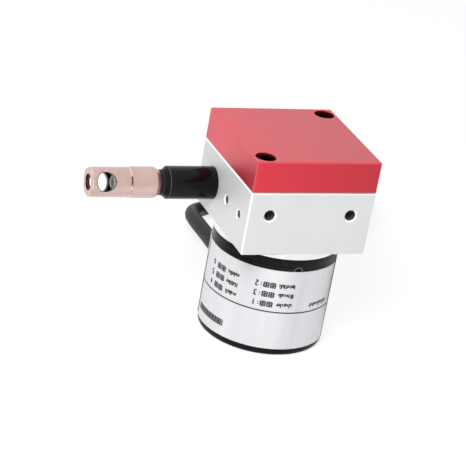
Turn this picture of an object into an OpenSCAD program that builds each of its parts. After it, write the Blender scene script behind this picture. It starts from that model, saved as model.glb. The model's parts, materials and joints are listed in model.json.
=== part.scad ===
// Draw wire encoder: a spring-loaded wire drum in a square housing turns the
// shaft of a rotary encoder flanged under it. Sizes are in millimetres, +Z is up,
// and the origin is on the encoder's axis at its bottom face.

/* [Housing] */
// Width of the square block and its lid
block_w = 40; // [39:0.5:46]
// Height of the block that holds the wire drum
block_h = 20; // [19:0.5:26]
// Height of the lid that holds the power spring
lid_h = 10; // [9.5:0.5:14]
// Thickness of the lid's roof over the spring
lid_roof = 2; // [1.2:0.2:3]
// Bevel along the edges of the block and the lid
edge_bevel = 0.4; // [0.2:0.1:0.8]
// Radius of the round chamber that the drum turns in
chamber_r = 14.5; // [14.2:0.1:15]
// Radius of the lid's spring room
spring_room_r = 15; // [14.5:0.1:15.4]
// Thickness of the plate between the drum and the spring
plate_t = 1.5; // [1.2:0.1:2]
// Thickness of the round adapter flange under the block
adapter_t = 2; // [1.6:0.2:4]

/* [Wire outlet] */
// Distance of the wire's line from the drum axis, the winding radius
wire_offset = 9; // [8.6:0.1:9.4]
// Diameter of the draw wire
wire_d = 0.5; // [0.4:0.05:0.6]
// Length of the nozzle outside the block
nozzle_len = 16.2; // [12:0.2:24]
// Diameter of the nozzle
nozzle_d = 10; // [9:0.2:11]
// Diameter of the nozzle's spigot in the block
spigot_d = 8; // [7:0.2:8.4]
// Length of the nozzle's spigot in the block
spigot_len = 5; // [4.4:0.1:5.4]
// Bore of the nozzle
nozzle_bore = 3.5; // [2.5:0.1:4]
// Outer diameter of the guide eyelets
eyelet_d = 5.4; // [4.6:0.1:6]
// Bore of the guide eyelets
eyelet_bore = 1.2; // [1:0.1:1.6]
// Length of each guide eyelet
eyelet_len = 3; // [2:0.2:4]
// Diameter of the rubber bumper on the nozzle's mouth
bumper_d = 7.7; // [6.8:0.1:8]
// Thickness of the rubber bumper
bumper_t = 1.4; // [1:0.1:2.4]

/* [Wire clip] */
// Length of the clip on the wire's end
clip_len = 21.9; // [19:0.1:30]
// Diameter of the clip's thick part
clip_d = 9.4; // [9.1:0.1:10.4]
// Length of the clip's thick part
clip_thick_len = 9.4; // [6:0.2:11]
// Diameter of the clip's thin part
clip_thin_d = 9; // [8.4:0.1:9]
// Diameter of the cross hole that fastens the clip
eye_d = 6; // [4.6:0.1:6.4]
// Distance of the cross hole's centre from the clip's end
eye_from_end = 4.4; // [3.9:0.1:5.4]
// Angle by which the clip's cross hole is turned up from level at rest
clip_turn = 25; // [0:5:45]
// Bore of the clip, which the ferrule turns in
clip_bore = 5; // [4:0.1:5.4]
// Length of the ferrule pressed on the wire's end
ferrule_len = 10.6; // [6:0.2:10.6]

/* [Drum] */
// Outer diameter of the drum's flanges
drum_flange_d = 26; // [22:0.5:27]
// Thickness of the drum's lower flange
drum_flange_t = 1; // [0.8:0.1:1.6]
// Thickness of the drum's upper flange, which holds the grub screw
drum_top_t = 2.8; // [2.6:0.1:3.4]
// Gap above and below the drum in its chamber
drum_gap = 0.5; // [0.3:0.1:0.8]
// Thickness of the power spring's strip
spring_t = 0.3; // [0.2:0.05:0.4]
// Turns of the power spring
spring_turns = 8; // [6:1:9]

/* [Encoder] */
// Height of the encoder
enc_h = 32.5; // [32.5:0.5:40]
// Diameter of the encoder's flange and can
enc_d = 38.6; // [38:0.2:39.6]
// Height of the flange's skirt
flange_h = 6.5; // [6:0.1:7.5]
// Thickness of the flange's plate
flange_plate_t = 3; // [2.6:0.1:3.4]
// Wall of the encoder's can
can_wall = 1; // [0.7:0.1:1.2]
// Thickness of the can's floor
can_floor = 1.2; // [0.8:0.1:2]
// Height of the label's lower edge
label_low = 2.5; // [2:0.1:4]
// Distance of the label's upper edge below the encoder's top
label_down = 4; // [3.4:0.1:5]
// Thickness of the label
label_t = 0.25; // [0.15:0.05:0.4]
// Angle that the label leaves bare
label_gap = 30; // [10:5:60]
// Diameter of the encoder's shaft
shaft_d = 6; // [5.6:0.1:6]
// Thickness of the lamp bracket between the code disc and the can
bracket_t = 3; // [2:0.1:3.4]
// Thickness of the code disc
disc_t = 0.8; // [0.5:0.1:1]
// Thickness of the circuit board
board_t = 1.6; // [1:0.2:1.6]

/* [Cable] */
// Diameter of the cable
cable_d = 5; // [4.6:0.2:5.4]
// Height of the cable's outlet above the base
cable_z = 6.7; // [6.2:0.1:7]
// Length of the strain relief outside the can
relief_len = 15; // [12:0.5:18]

/* [Fasteners and mounting holes] */
// Distance of the lid screws from the block's sides
lid_screw_in = 4; // [3.8:0.1:4.4]
// Length of the lid screws' shanks
lid_screw_len = 8; // [7:0.5:8]
// Depth of the lid screws' counterbores
lid_sink = 6.5; // [5:0.25:7]
// Spacing of the front mounting holes
front_spacing = 26; // [20:0.5:27]
// Height of the front mounting holes above the block's base
front_up = 12.7; // [10:0.1:13]
// Tapping bore of the front mounting holes, M4
front_bore = 3.3; // [3:0.1:3.6]
// Depth of the front mounting holes
front_depth = 6.5; // [4:0.25:8]
// Spacing of the side mounting holes
side_spacing = 10; // [8:0.5:11]
// Distance of the side holes' centre from the drum axis
side_back = 8; // [7.5:0.1:8.5]
// Tapping bore of the side mounting holes, M3
side_bore = 2.5; // [2.2:0.1:2.8]
// Depth of the side mounting holes
side_depth = 4.2; // [3:0.1:4.4]
// Radius of the circle of screws that hold the encoder
flange_screw_r = 11.8; // [11.7:0.05:11.9]

/* [Hidden] */
$fn = 64;

fit = 0.02;    // clearance of pieces that locate each other
run = 0.05;    // radial clearance of pieces that turn in each other
slip = 0.1;    // clearance of pieces that drop into each other
cut = 1;       // how far a cutter runs past the face that it opens

// Levels
z_block = enc_h + adapter_t;
z_lid = z_block + block_h;
z_top = z_lid + lid_h;
z_wire = z_block + block_h / 2;
x_face = -block_w / 2;

// Bearings: bore, outside diameter, width
drum_brg = [12, 18, 4];
plate_brg = [6, 10, 3];
shaft_brg = [6, 13, 5];
brg_lip = 0.3;
z_drum_brg = z_block + brg_lip;
z_floor = z_drum_brg + drum_brg[2];
z_plate = z_lid - plate_t;
z_plate_brg = z_plate + brg_lip;
z_boss_top = z_plate_brg + plate_brg[2];
boss_wall = 1.6;

// Drum
z_drum = z_floor + drum_gap;
z_drum_top = z_plate - drum_gap;
z_wind = z_drum + drum_flange_t;
z_wind_top = z_drum_top - drum_top_t;
wire_r = wire_d / 2;
drum_core_r = wire_offset - wire_r;
turns = floor((z_wind_top - z_wind) / wire_d);
z_take = z_wind + (turns - 0.5) * wire_d;
shaft_top = z_drum_top - 1;
journal_r = plate_brg[0] / 2 - fit;
stub_r = 2;
hub_shoulder = 0.9;
plate_clear = 0.1;

// Lid, plate and spring
plate_r = 15.5;
seal_r = 17.1;
seal_d = 1;
z_room_top = z_top - lid_roof;
spring_gap = 0.4;
z_spring = z_boss_top + spring_gap;
spring_h = z_room_top - spring_gap - z_spring;
arbor_r = 3.6;
post_r = 0.8;
post_at = spring_room_r - post_r - slip;
spring_out_r = post_at - post_r - spring_t - slip;
spring_in_r = arbor_r + spring_t / 2 + run;
spring_steps = 20;

// Screws: shank radius, head radius, head height
m3 = [1.5, 2.75, 3];
m3_flat_h = 1.6;
hex_r = 1.45;
lid_screw_at = block_w / 2 - lid_screw_in;
z_lid_head = z_top - lid_sink;
lid_head_bore = 3.1;
flange_screw_turn = 30;
grub_r = 1.25;
grub_len = 5;

// Outlet
nozzle_bevel = [1.2, 1];
x_nozzle = x_face - nozzle_len;
x_bumper = x_nozzle - bumper_t;
x_spigot = x_face + spigot_len;
eyelet_flare = 1;
bend_x = x_spigot - eyelet_flare;
take_x = -sqrt(pow(wire_offset + wire_d, 2) - pow(wire_offset, 2)) - slip;

// Clip
clip_gap = 0.2;
x_clip = x_bumper - clip_gap;
x_clip_end = x_bumper - clip_len;
x_shoulder = x_bumper - clip_thick_len;
x_eye = x_clip_end + eye_from_end;
clip_wall = 3.4;
x_ferrule = x_clip - clip_wall - slip;
ferrule_r = clip_bore / 2 - run;
wire_hole_r = wire_r + 0.35;
clip_nose = [1.4, 0.85];
clip_end_bevel = 0.25;
eye_bevel = 0.35;
recess_r = 3.2;
recess_side = 0.2;

// Encoder
enc_r = enc_d / 2;
z_skirt = enc_h - flange_h;
z_flange_plate = enc_h - flange_plate_t;
skirt_wall = 1.4;
neck_r = enc_r - skirt_wall - run;
neck_t = 0.8;
step_t = 1.5;
can_edge = 1.3;
can_in_r = enc_r - can_wall;
pilot_r = 9.4;
pilot_h = adapter_t - 0.2;
z_shaft_brg_top = enc_h - 0.9;
z_upper_brg = z_shaft_brg_top - shaft_brg[2];
spacer_h = 2.7;
z_lower_brg = z_upper_brg - spacer_h - shaft_brg[2];
hub_r = shaft_brg[1] / 2 + 2.5;
shaft_r = shaft_d / 2;
clip_ring_t = 0.5;
z_clip_ring = z_lower_brg - clip_ring_t - slip;
disc_seat_r = 4.85;
hub_sleeve = [z_clip_ring - 0.3 - 5, 5];
z_disc = hub_sleeve[0] + 1.2;
z_shaft = hub_sleeve[0] - 0.4;
sensor_h = 1.2;
disc_clear = 0.5;
z_board = z_disc - disc_clear - sensor_h - board_t;
sensor = [4, 5];
chip = [5, 6, sensor_h - slip];
chip_at = [-11, -3];
driver = [7, 5, 1];
driver_at = [-6, -11];
plug_socket = [10, 4, 2];
socket_at = [-5, 7];
board_screw_r = 0.75;
board_head_h = 0.9;
board_grip = 3.4;
board_r = can_in_r - 1.5;
neck_in_r = neck_r - neck_t;
bracket_gap = 0.45;
disc_side_gap = 0.6;
disc_r = neck_in_r - bracket_gap - bracket_t - disc_side_gap;
bracket_r = disc_r + disc_side_gap;
bracket_turn = 30;
bracket_w = 5;
bracket_arm_t = 2.4;
z_bracket = z_disc + disc_t + 1;
read_r = disc_r - 2.4;
led_r = 1.5;
led_h = 3;
led_base = [1.9, 0.4];
pillar_r = 1.5;
pillar_at = neck_in_r - pillar_r - 0.25;
pillar_turn = 90;
label_top = enc_h - label_down;
label_end = -41;
can_screw_turn = -90;

// Cable: the middle of the tube from the strain relief to the coil
y_can = enc_r + 0.2;
y_relief = y_can + relief_len;
gland_r = cable_d / 2 + 1.4;
coil_at = [41.5, 82];
coil_r = [19, 29];
coil_h = 15;
lead_r = 0.6;
cable_route = [
    [0, y_relief, cable_z], [0, 44, cable_z], [0, 53, cable_z], [0, 60.4, 6.6],
    [0.7, 65.6, 6.2], [2.7, 70.4, 5.2], [5.9, 74.5, 4.1], [8, 76.4, 3.4],
    [10.1, 78.3, 2.9], [12, 80.4, 2.6]
];

// ---------- shared shapes ----------

// A ring about Z, or a disc where its inner radius is 0
module ring(r_out, r_in, h, z = 0) {
    translate([0, 0, z]) difference() {
        cylinder(r = r_out, h = h);
        if (r_in > 0) translate([0, 0, -cut]) cylinder(r = r_in, h = h + 2 * cut);
    }
}

// A drill about Z with a countersunk mouth at z = 0, running down
module drill_down(r, depth, mouth = 0) {
    translate([0, 0, -depth]) cylinder(r = r, h = depth + cut);
    if (mouth > 0) translate([0, 0, -mouth]) cylinder(r1 = r, r2 = r + mouth + fit, h = mouth + fit);
}

// A square box with all its edges bevelled
module bevelled_box(w, h, bevel) {
    module outline(x, y)
        polygon([
            [-x + bevel, -y], [x - bevel, -y], [x, -y + bevel], [x, y - bevel],
            [x - bevel, y], [-x + bevel, y], [-x, y - bevel], [-x, -y + bevel]
        ]);
    intersection() {
        linear_extrude(h) outline(w / 2, w / 2);
        translate([0, w, h / 2]) rotate([90, 0, 0]) linear_extrude(2 * w) outline(w / 2, h / 2);
        translate([-w, 0, h / 2]) rotate([90, 0, 90]) linear_extrude(2 * w) outline(w / 2, h / 2);
    }
}

// Children spread evenly about Z
module around(count, r, turn = 0)
    for (i = [0 : count - 1]) rotate([0, 0, turn + i * 360 / count]) translate([r, 0, 0]) children();

// Places children with their +Z along -X, at the wire's height and offset
module on_wire_line(x) translate([x, wire_offset, z_wire]) rotate([0, -90, 0]) children();

// Bearing parts; size is [bore, outside diameter, width]
function brg_mid(size) = (size[0] + size[1]) / 4;
function brg_ball(size) = 0.13 * (size[1] - size[0]);
function brg_ring_t(size) = 0.165 * (size[1] - size[0]);
module ball_groove(size)
    rotate_extrude() translate([brg_mid(size), size[2] / 2]) circle(r = brg_ball(size) + fit, $fn = 24);
module outer_ring(size, z) translate([0, 0, z]) difference() {
    ring(size[1] / 2 - fit, size[1] / 2 - brg_ring_t(size), size[2]);
    ball_groove(size);
}
module inner_ring(size, z) translate([0, 0, z]) difference() {
    ring(size[0] / 2 + brg_ring_t(size), size[0] / 2 + fit, size[2]);
    ball_groove(size);
}
module balls(size, z)
    around(floor(2.4 * brg_mid(size) / brg_ball(size)), brg_mid(size))
        translate([0, 0, z + size[2] / 2]) sphere(r = brg_ball(size), $fn = 24);

// ---------- housing ----------

module block() color([0.86, 0.87, 0.87]) difference() {
    translate([0, 0, z_block]) bevelled_box(block_w, block_h, edge_bevel);
    translate([0, 0, z_floor]) cylinder(r = chamber_r, h = block_h);
    translate([0, 0, z_plate]) cylinder(r = plate_r, h = block_h);
    translate([0, 0, z_drum_brg]) cylinder(r = drum_brg[1] / 2, h = block_h);
    translate([0, 0, z_block - cut]) cylinder(r = drum_brg[1] / 2 - 0.8, h = block_h);
    translate([0, 0, z_lid]) rotate_extrude() translate([seal_r, 0])
        square([seal_d + 2 * run, 2 * seal_d], center = true);
    around(3, flange_screw_r, flange_screw_turn) {
        translate([0, 0, z_block - cut]) cylinder(r = m3[0] + slip, h = block_h);
        translate([0, 0, z_floor - m3_flat_h]) cylinder(r1 = m3[0] + slip, r2 = m3[1] + slip, h = m3_flat_h);
        translate([0, 0, z_floor]) cylinder(r = m3[1] + slip, h = cut);
    }
    for (s = [-1, 1]) {
        translate([s * lid_screw_at, s * lid_screw_at, z_lid])
            drill_down(m3[0] + fit, lid_screw_len - lid_h + lid_sink + 0.4);
        translate([s * front_spacing / 2, -block_w / 2, z_block + front_up])
            rotate([90, 0, 0]) drill_down(front_bore / 2, front_depth, 0.45);
        translate([x_face, s * side_spacing / 2 - side_back, z_wire])
            rotate([0, -90, 0]) drill_down(side_bore / 2, side_depth, 0.35);
    }
    on_wire_line(x_face) drill_down(spigot_d / 2 + fit, block_w / 4);
}

module adapter_flange() color([0.84, 0.85, 0.86]) difference() {
    ring(enc_r + label_t, pilot_r + run, adapter_t, enc_h);
    around(3, flange_screw_r, flange_screw_turn)
        translate([0, 0, enc_h - cut]) cylinder(r = m3[0] + slip, h = adapter_t + 2 * cut);
}

module flange_screws() color([0.62, 0.63, 0.65]) around(3, flange_screw_r, flange_screw_turn) {
    difference() {
        union() {
            translate([0, 0, z_flange_plate + 2 * slip]) cylinder(r = m3[0], h = z_floor - z_flange_plate - 4 * slip);
            translate([0, 0, z_floor - m3_flat_h - 0.1]) cylinder(r1 = m3[0], r2 = m3[1], h = m3_flat_h);
        }
        translate([0, 0, z_floor - 1.1]) cylinder(r = 1.15, h = 2 * cut, $fn = 6);
    }
}

module lid() color([0.80, 0.20, 0.25]) difference() {
    translate([0, 0, z_lid]) bevelled_box(block_w, lid_h, edge_bevel);
    translate([0, 0, z_lid - cut]) cylinder(r = spring_room_r, h = z_room_top - z_lid + cut);
    for (s = [-1, 1]) translate([s * lid_screw_at, s * lid_screw_at, z_top]) {
        drill_down(m3[0] + slip, lid_h + cut);
        drill_down(lid_head_bore, lid_sink, 0.2);
    }
    rotate([0, 0, 45]) translate([post_at, 0, z_lid]) cylinder(r = post_r + fit, h = lid_h - lid_roof / 2);
}

module lid_screws() color([0.25, 0.25, 0.26])
    for (s = [-1, 1]) translate([s * lid_screw_at, s * lid_screw_at, z_lid_head]) difference() {
        union() {
            cylinder(r = m3[1], h = m3[2]);
            translate([0, 0, -lid_screw_len]) cylinder(r = m3[0], h = lid_screw_len + fit);
        }
        translate([0, 0, m3[2] - 1.5]) cylinder(r = hex_r, h = 1.5 + cut, $fn = 6);
    }

module lid_seal() color([0.1, 0.1, 0.1])
    translate([0, 0, z_lid - seal_d / 2]) rotate_extrude() translate([seal_r, 0]) circle(r = seal_d / 2, $fn = 24);

module spring_plate() color([0.75, 0.76, 0.77]) difference() {
    union() {
        ring(plate_r - slip, 0, plate_t, z_plate);
        ring(plate_brg[1] / 2 + boss_wall, 0, z_boss_top - z_plate, z_plate);
    }
    translate([0, 0, z_plate_brg]) cylinder(r = plate_brg[1] / 2, h = plate_brg[2] + cut);
    translate([0, 0, z_plate - cut]) cylinder(r = plate_brg[1] / 2 - 0.7, h = plate_brg[2]);
}

// The spring's strip, a spiral from the arbor to the post
function spring_r(i) = spring_in_r + (spring_out_r - spring_in_r) * i / (spring_turns * spring_steps);
function spring_point(i, side) =
    (spring_r(i) + side * spring_t / 2) * [cos(45 + i * 360 / spring_steps), sin(45 + i * 360 / spring_steps)];
module power_spring() color([0.35, 0.37, 0.42]) translate([0, 0, z_spring]) linear_extrude(spring_h)
    polygon(concat(
        [for (i = [0 : spring_turns * spring_steps]) spring_point(i, 1)],
        [for (i = [spring_turns * spring_steps : -1 : 0]) spring_point(i, -1)]
    ));

module spring_post() color([0.6, 0.6, 0.62]) rotate([0, 0, 45])
    translate([post_at, 0, z_lid + slip]) cylinder(r = post_r, h = lid_h - lid_roof / 2 - 2 * slip);

// ---------- wire outlet ----------

module wire_nozzle() color([0.09, 0.09, 0.10]) on_wire_line(x_face) difference() {
    union() {
        translate([0, 0, -spigot_len]) cylinder(d = spigot_d, h = spigot_len + fit);
        cylinder(d = nozzle_d, h = nozzle_len - nozzle_bevel[0]);
        translate([0, 0, nozzle_len - nozzle_bevel[0]])
            cylinder(r1 = nozzle_d / 2, r2 = nozzle_d / 2 - nozzle_bevel[1], h = nozzle_bevel[0]);
    }
    translate([0, 0, -spigot_len - cut]) cylinder(d = nozzle_bore, h = nozzle_len + spigot_len + 2 * cut);
    translate([0, 0, nozzle_len - eyelet_len]) cylinder(r = eyelet_d / 2 + fit, h = eyelet_len + cut);
    translate([0, 0, -spigot_len - cut]) cylinder(r = eyelet_d / 2 + fit, h = eyelet_len + cut);
}

// One eyelet about Z, with its flared mouth at z = 0
module eyelet() rotate_extrude() difference() {
    translate([eyelet_bore / 2, 0]) square([(eyelet_d - eyelet_bore) / 2, eyelet_len]);
    translate([eyelet_bore / 2, 0]) circle(r = eyelet_flare, $fn = 24);
}

module guide_eyelets() color([0.93, 0.92, 0.88]) {
    on_wire_line(x_spigot) eyelet();
    on_wire_line(x_nozzle) mirror([0, 0, 1]) eyelet();
}

module bumper_ring() color([0.07, 0.07, 0.07]) on_wire_line(x_nozzle)
    ring(bumper_d / 2, nozzle_bore / 2, bumper_t);

// ---------- bearings ----------

module bearing_outer_rings() color([0.72, 0.73, 0.75]) {
    outer_ring(drum_brg, z_drum_brg);
    outer_ring(plate_brg, z_plate_brg);
    outer_ring(shaft_brg, z_upper_brg);
    outer_ring(shaft_brg, z_lower_brg);
}

module bearing_inner_rings() color([0.72, 0.73, 0.75]) {
    inner_ring(drum_brg, z_drum_brg);
    inner_ring(plate_brg, z_plate_brg);
    inner_ring(shaft_brg, z_upper_brg);
    inner_ring(shaft_brg, z_lower_brg);
}

module bearing_balls() color([0.8, 0.8, 0.82]) {
    balls(drum_brg, z_drum_brg);
    balls(plate_brg, z_plate_brg);
    balls(shaft_brg, z_upper_brg);
    balls(shaft_brg, z_lower_brg);
}

module bearing_spacer() color([0.7, 0.7, 0.72])
    ring(shaft_brg[1] / 2 - fit, shaft_brg[1] / 2 - 0.8, spacer_h, z_upper_brg - spacer_h);

// ---------- encoder ----------

module encoder_flange() color([0.13, 0.13, 0.14]) difference() {
    union() {
        ring(enc_r, 0, flange_plate_t, z_flange_plate);
        ring(enc_r, enc_r - skirt_wall, flange_h - flange_plate_t + fit, z_skirt);
        ring(hub_r, 0, z_flange_plate - z_lower_brg + fit, z_lower_brg);
        ring(pilot_r, 0, pilot_h + fit, enc_h - fit);
    }
    translate([0, 0, z_lower_brg - cut]) cylinder(d = shaft_brg[1], h = z_shaft_brg_top - z_lower_brg + cut);
    translate([0, 0, z_lower_brg]) cylinder(r = shaft_r + 1.4, h = enc_h);
    around(3, flange_screw_r, flange_screw_turn)
        translate([0, 0, z_flange_plate - cut]) cylinder(r = m3[0] + fit, h = flange_plate_t + 2 * cut);
    around(3, enc_r, can_screw_turn) translate([-2 * skirt_wall, 0, label_top])
        rotate([0, 90, 0]) cylinder(r = m3[0] + fit, h = 4 * skirt_wall);
}

module encoder_can() color([0.13, 0.13, 0.14]) difference() {
    rotate_extrude() polygon(concat(
        [[0, 0]],
        [for (a = [-90 : 15 : 0]) [enc_r - can_edge + can_edge * cos(a), can_edge + can_edge * sin(a)]],
        [
            [enc_r, z_skirt - slip], [neck_r, z_skirt - slip], [neck_r, z_flange_plate - slip],
            [neck_r - neck_t, z_flange_plate - slip], [neck_r - neck_t, z_skirt - step_t],
            [can_in_r, z_skirt - step_t - can_wall], [can_in_r, can_floor], [0, can_floor]
        ]
    ));
    translate([0, enc_r - 2 * can_wall, cable_z]) rotate([-90, 0, 0])
        cylinder(r = cable_d / 2 + 0.5, h = 4 * can_wall);
}

module can_screws() color([0.45, 0.46, 0.48]) around(3, neck_r + run, can_screw_turn)
    translate([0, 0, label_top]) rotate([0, 90, 0]) difference() {
        cylinder(r = m3[0], h = skirt_wall - slip);
        translate([0, 0, skirt_wall / 3]) cylinder(r = 0.87, h = skirt_wall, $fn = 6);
    }

module label() color([0.90, 0.90, 0.91]) difference() {
    rotate([0, 0, label_end + label_gap]) rotate_extrude(angle = 360 - label_gap)
        translate([enc_r + fit, label_low]) square([label_t - fit, label_top - label_low]);
    translate([0, 0, cable_z]) rotate([-90, 0, 0]) cylinder(r = gland_r + slip, h = enc_d);
}

module circuit_board() color([0.05, 0.35, 0.18]) difference() {
    ring(board_r, shaft_r + 1, board_t, z_board);
    around(3, pillar_at, pillar_turn) translate([0, 0, z_board - cut])
        cylinder(r = board_screw_r + run, h = board_t + 2 * cut);
}

// The sensor and a chip stand on the board, a driver chip and the cable's socket hang under it
module board_parts() {
    color([0.12, 0.12, 0.13]) {
        rotate([0, 0, bracket_turn]) translate([read_r - sensor[0] / 2, -sensor[1] / 2, z_board + board_t])
            cube([sensor[0], sensor[1], sensor_h - slip]);
        translate([chip_at[0], chip_at[1], z_board + board_t]) cube(chip);
        translate([driver_at[0], driver_at[1], z_board - driver[2]]) cube(driver);
    }
    color([0.9, 0.9, 0.85]) translate([socket_at[0], socket_at[1], z_board - plug_socket[2]]) cube(plug_socket);
}

module board_pillars() color([0.75, 0.70, 0.45]) around(3, pillar_at, pillar_turn) difference() {
    ring(pillar_r, 0, z_flange_plate - z_board - board_t, z_board + board_t);
    translate([0, 0, z_board]) cylinder(r = board_screw_r + fit, h = board_t + board_grip + 2 * slip);
}

module board_screws() color([0.6, 0.6, 0.62]) around(3, pillar_at, pillar_turn) {
    translate([0, 0, z_board - board_head_h]) cylinder(r = pillar_r, h = board_head_h);
    translate([0, 0, z_board - fit]) cylinder(r = board_screw_r, h = board_t + board_grip);
}

// The bracket reaches round the code disc and carries the lamp over its track
module led_bracket() color([0.15, 0.15, 0.16]) rotate([0, 0, bracket_turn]) difference() {
    union() {
        translate([bracket_r, -bracket_w / 2, z_bracket]) cube([bracket_t, bracket_w, z_flange_plate - z_bracket]);
        translate([read_r - bracket_w / 2, -bracket_w / 2, z_bracket])
            cube([bracket_r + slip - read_r + bracket_w / 2, bracket_w, bracket_arm_t]);
    }
    translate([read_r, 0, z_bracket - cut]) cylinder(r = led_r + fit, h = bracket_arm_t + 2 * cut);
}

// The lamp stands through the bracket's arm, its base on top of the arm
module led() color([0.85, 0.85, 0.9, 0.8]) rotate([0, 0, bracket_turn])
    translate([read_r, 0, z_bracket + bracket_arm_t + slip]) mirror([0, 0, 1]) {
        cylinder(r = led_r, h = led_h);
        translate([0, 0, -led_base[1]]) cylinder(r = led_base[0], h = led_base[1] + slip);
    }

// ---------- cable ----------

module cable_gland() color([0.10, 0.10, 0.11]) translate([0, 0, cable_z]) rotate([-90, 0, 0]) {
    translate([0, 0, enc_r - 2]) cylinder(r = cable_d / 2 + 0.4, h = 2.3);
    translate([0, 0, y_can]) cylinder(r = gland_r, h = 1.8);
    translate([0, 0, y_can]) cylinder(r1 = cable_d / 2 + 1.1, r2 = cable_d / 2 + 0.35, h = relief_len);
}

// A tube swept along points, its rings square to the route
function unit(v) = v / norm(v);
function heading(p, i) = unit(p[min(i + 1, len(p) - 1)] - p[max(i - 1, 0)]);
function tube_ring(c, dir, r, sides) =
    let (across = unit(cross(dir, [0, 0, 1])), up = cross(across, dir))
    [for (k = [0 : sides - 1]) c + r * (cos(k * 360 / sides) * across + sin(k * 360 / sides) * up)];
module tube_along(p, r, sides) {
    n = len(p);
    polyhedron(
        points = [for (i = [0 : n - 1]) each tube_ring(p[i], heading(p, i), r, sides)],
        faces = concat(
            [[for (k = [0 : sides - 1]) k]],
            [for (i = [0 : n - 2], k = [0 : sides - 1]) let (a = i * sides + k, b = i * sides + (k + 1) % sides)
                [a, a + sides, b + sides, b]],
            [[for (k = [sides - 1 : -1 : 0]) (n - 1) * sides + k]]
        )
    );
}

module cable_tube() color([0.27, 0.27, 0.29]) tube_along(cable_route, cable_d / 2, 10);

module cable_coil() color([0.27, 0.27, 0.29]) translate([coil_at[0], coil_at[1], 0]) difference() {
    rotate_extrude() translate([coil_r[0], 0]) square([coil_r[1] - coil_r[0], coil_h]);
    translate([0, 0, coil_h - cable_d]) rotate([0, 0, 90]) rotate_extrude(angle = 60)
        translate([coil_r[0] - cut, 0]) square([cable_d + cut, cable_d + cut]);
}

module lead_ends() color([0.75, 0.45, 0.3]) translate([coil_at[0], coil_at[1], coil_h - cable_d + lead_r])
    for (k = [0 : 2]) rotate([0, 0, 95]) rotate_extrude(angle = 46 - 3 * k)
        translate([coil_r[0] + 1 + 1.5 * k, 0]) circle(r = lead_r, $fn = 16);

// ---------- what turns with the drum ----------

module drum() color([0.80, 0.78, 0.72]) difference() {
    union() {
        ring(drum_brg[0] / 2 - fit, 0, z_floor + plate_clear - z_drum_brg + fit, z_drum_brg);
        ring(drum_brg[0] / 2 + hub_shoulder, 0, drum_gap - plate_clear + fit, z_floor + plate_clear);
        ring(drum_flange_d / 2, 0, drum_flange_t, z_drum);
        ring(drum_core_r, 0, z_wind_top - z_wind + 2 * fit, z_wind - fit);
        ring(drum_flange_d / 2, 0, drum_top_t, z_wind_top);
        ring(plate_brg[0] / 2 + hub_shoulder, 0, z_plate_brg - z_drum_top + fit, z_drum_top - fit);
        ring(journal_r, 0, plate_brg[2] + plate_clear + fit, z_plate_brg);
        ring(stub_r, 0, spring_h, z_boss_top);
    }
    translate([0, 0, z_drum_brg - cut]) cylinder(r = shaft_r + fit, h = shaft_top - z_drum_brg + cut);
    translate([0, 0, z_wind_top + drum_top_t / 2]) rotate([0, 90, 0]) cylinder(r = grub_r + fit, h = drum_flange_d);
}

module wound_wire() color([0.66, 0.67, 0.69]) rotate_extrude() {
    translate([drum_core_r + fit, z_wind + wire_r]) square([wire_r, (turns - 1) * wire_d]);
    for (i = [0 : turns - 1]) translate([wire_offset + fit, z_wind + (i + 0.5) * wire_d])
        circle(r = wire_r - fit / 2, $fn = 16);
}

module drum_grub_screw() color([0.2, 0.2, 0.2]) translate([shaft_r + 2 * fit, 0, z_wind_top + drum_top_t / 2])
    rotate([0, 90, 0]) difference() {
        cylinder(r = grub_r, h = grub_len);
        translate([0, 0, grub_len - grub_r]) cylinder(r = grub_r / 2, h = grub_len, $fn = 6);
    }

module spring_arbor() color([0.6, 0.6, 0.62]) difference() {
    ring(arbor_r, stub_r + fit, spring_h + 2 * plate_clear, z_spring - plate_clear);
    rotate([0, 0, 45]) translate([0, -0.3, z_spring - cut]) cube([arbor_r + cut, 0.6, spring_h + 2 * cut]);
}

module encoder_shaft() color([0.78, 0.79, 0.80]) difference() {
    ring(shaft_r, 0, shaft_top - slip - z_shaft, z_shaft);
    translate([0, 0, z_clip_ring - fit]) difference() {
        cylinder(r = shaft_r + cut, h = clip_ring_t + 2 * fit);
        cylinder(r = shaft_r - 0.4, h = clip_ring_t + 2 * fit);
    }
}

module shaft_circlip() color([0.3, 0.3, 0.32]) difference() {
    ring(shaft_r + 0.9, shaft_r - 0.4 + fit, clip_ring_t, z_clip_ring);
    translate([0, -1, z_clip_ring - cut]) cube([shaft_r + 2, 2, clip_ring_t + 2 * cut]);
}

module disc_hub() color([0.75, 0.70, 0.45]) difference() {
    union() {
        ring(disc_seat_r - slip, 0, hub_sleeve[1], hub_sleeve[0]);
        ring(disc_seat_r + 2, 0, 1.2, z_disc + disc_t + fit);
    }
    translate([0, 0, hub_sleeve[0] - cut]) cylinder(r = shaft_r + fit, h = hub_sleeve[1] + 2 * cut);
}

module code_disc() color([0.7, 0.8, 0.85, 0.6]) ring(disc_r, disc_seat_r, disc_t, z_disc);

// ---------- wire and clip ----------

module draw_wire() color([0.66, 0.67, 0.69]) {
    lead = [take_x - bend_x, z_take - z_wire];
    on_wire_line(bend_x + wire_r / 4) cylinder(r = wire_r, h = bend_x - x_ferrule + ferrule_len - 1, $fn = 24);
    translate([bend_x, wire_offset, z_wire]) rotate([0, 90 - atan2(lead[1], lead[0]), 0])
        translate([0, 0, -wire_r / 2]) cylinder(r = wire_r, h = norm(lead) + wire_r / 2, $fn = 24);
}

module wire_ferrule() color([0.72, 0.73, 0.75]) on_wire_line(x_ferrule) difference() {
    cylinder(r = ferrule_r, h = ferrule_len);
    translate([0, 0, -cut]) cylinder(r = wire_r + fit, h = ferrule_len + 2 * cut);
}

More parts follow.
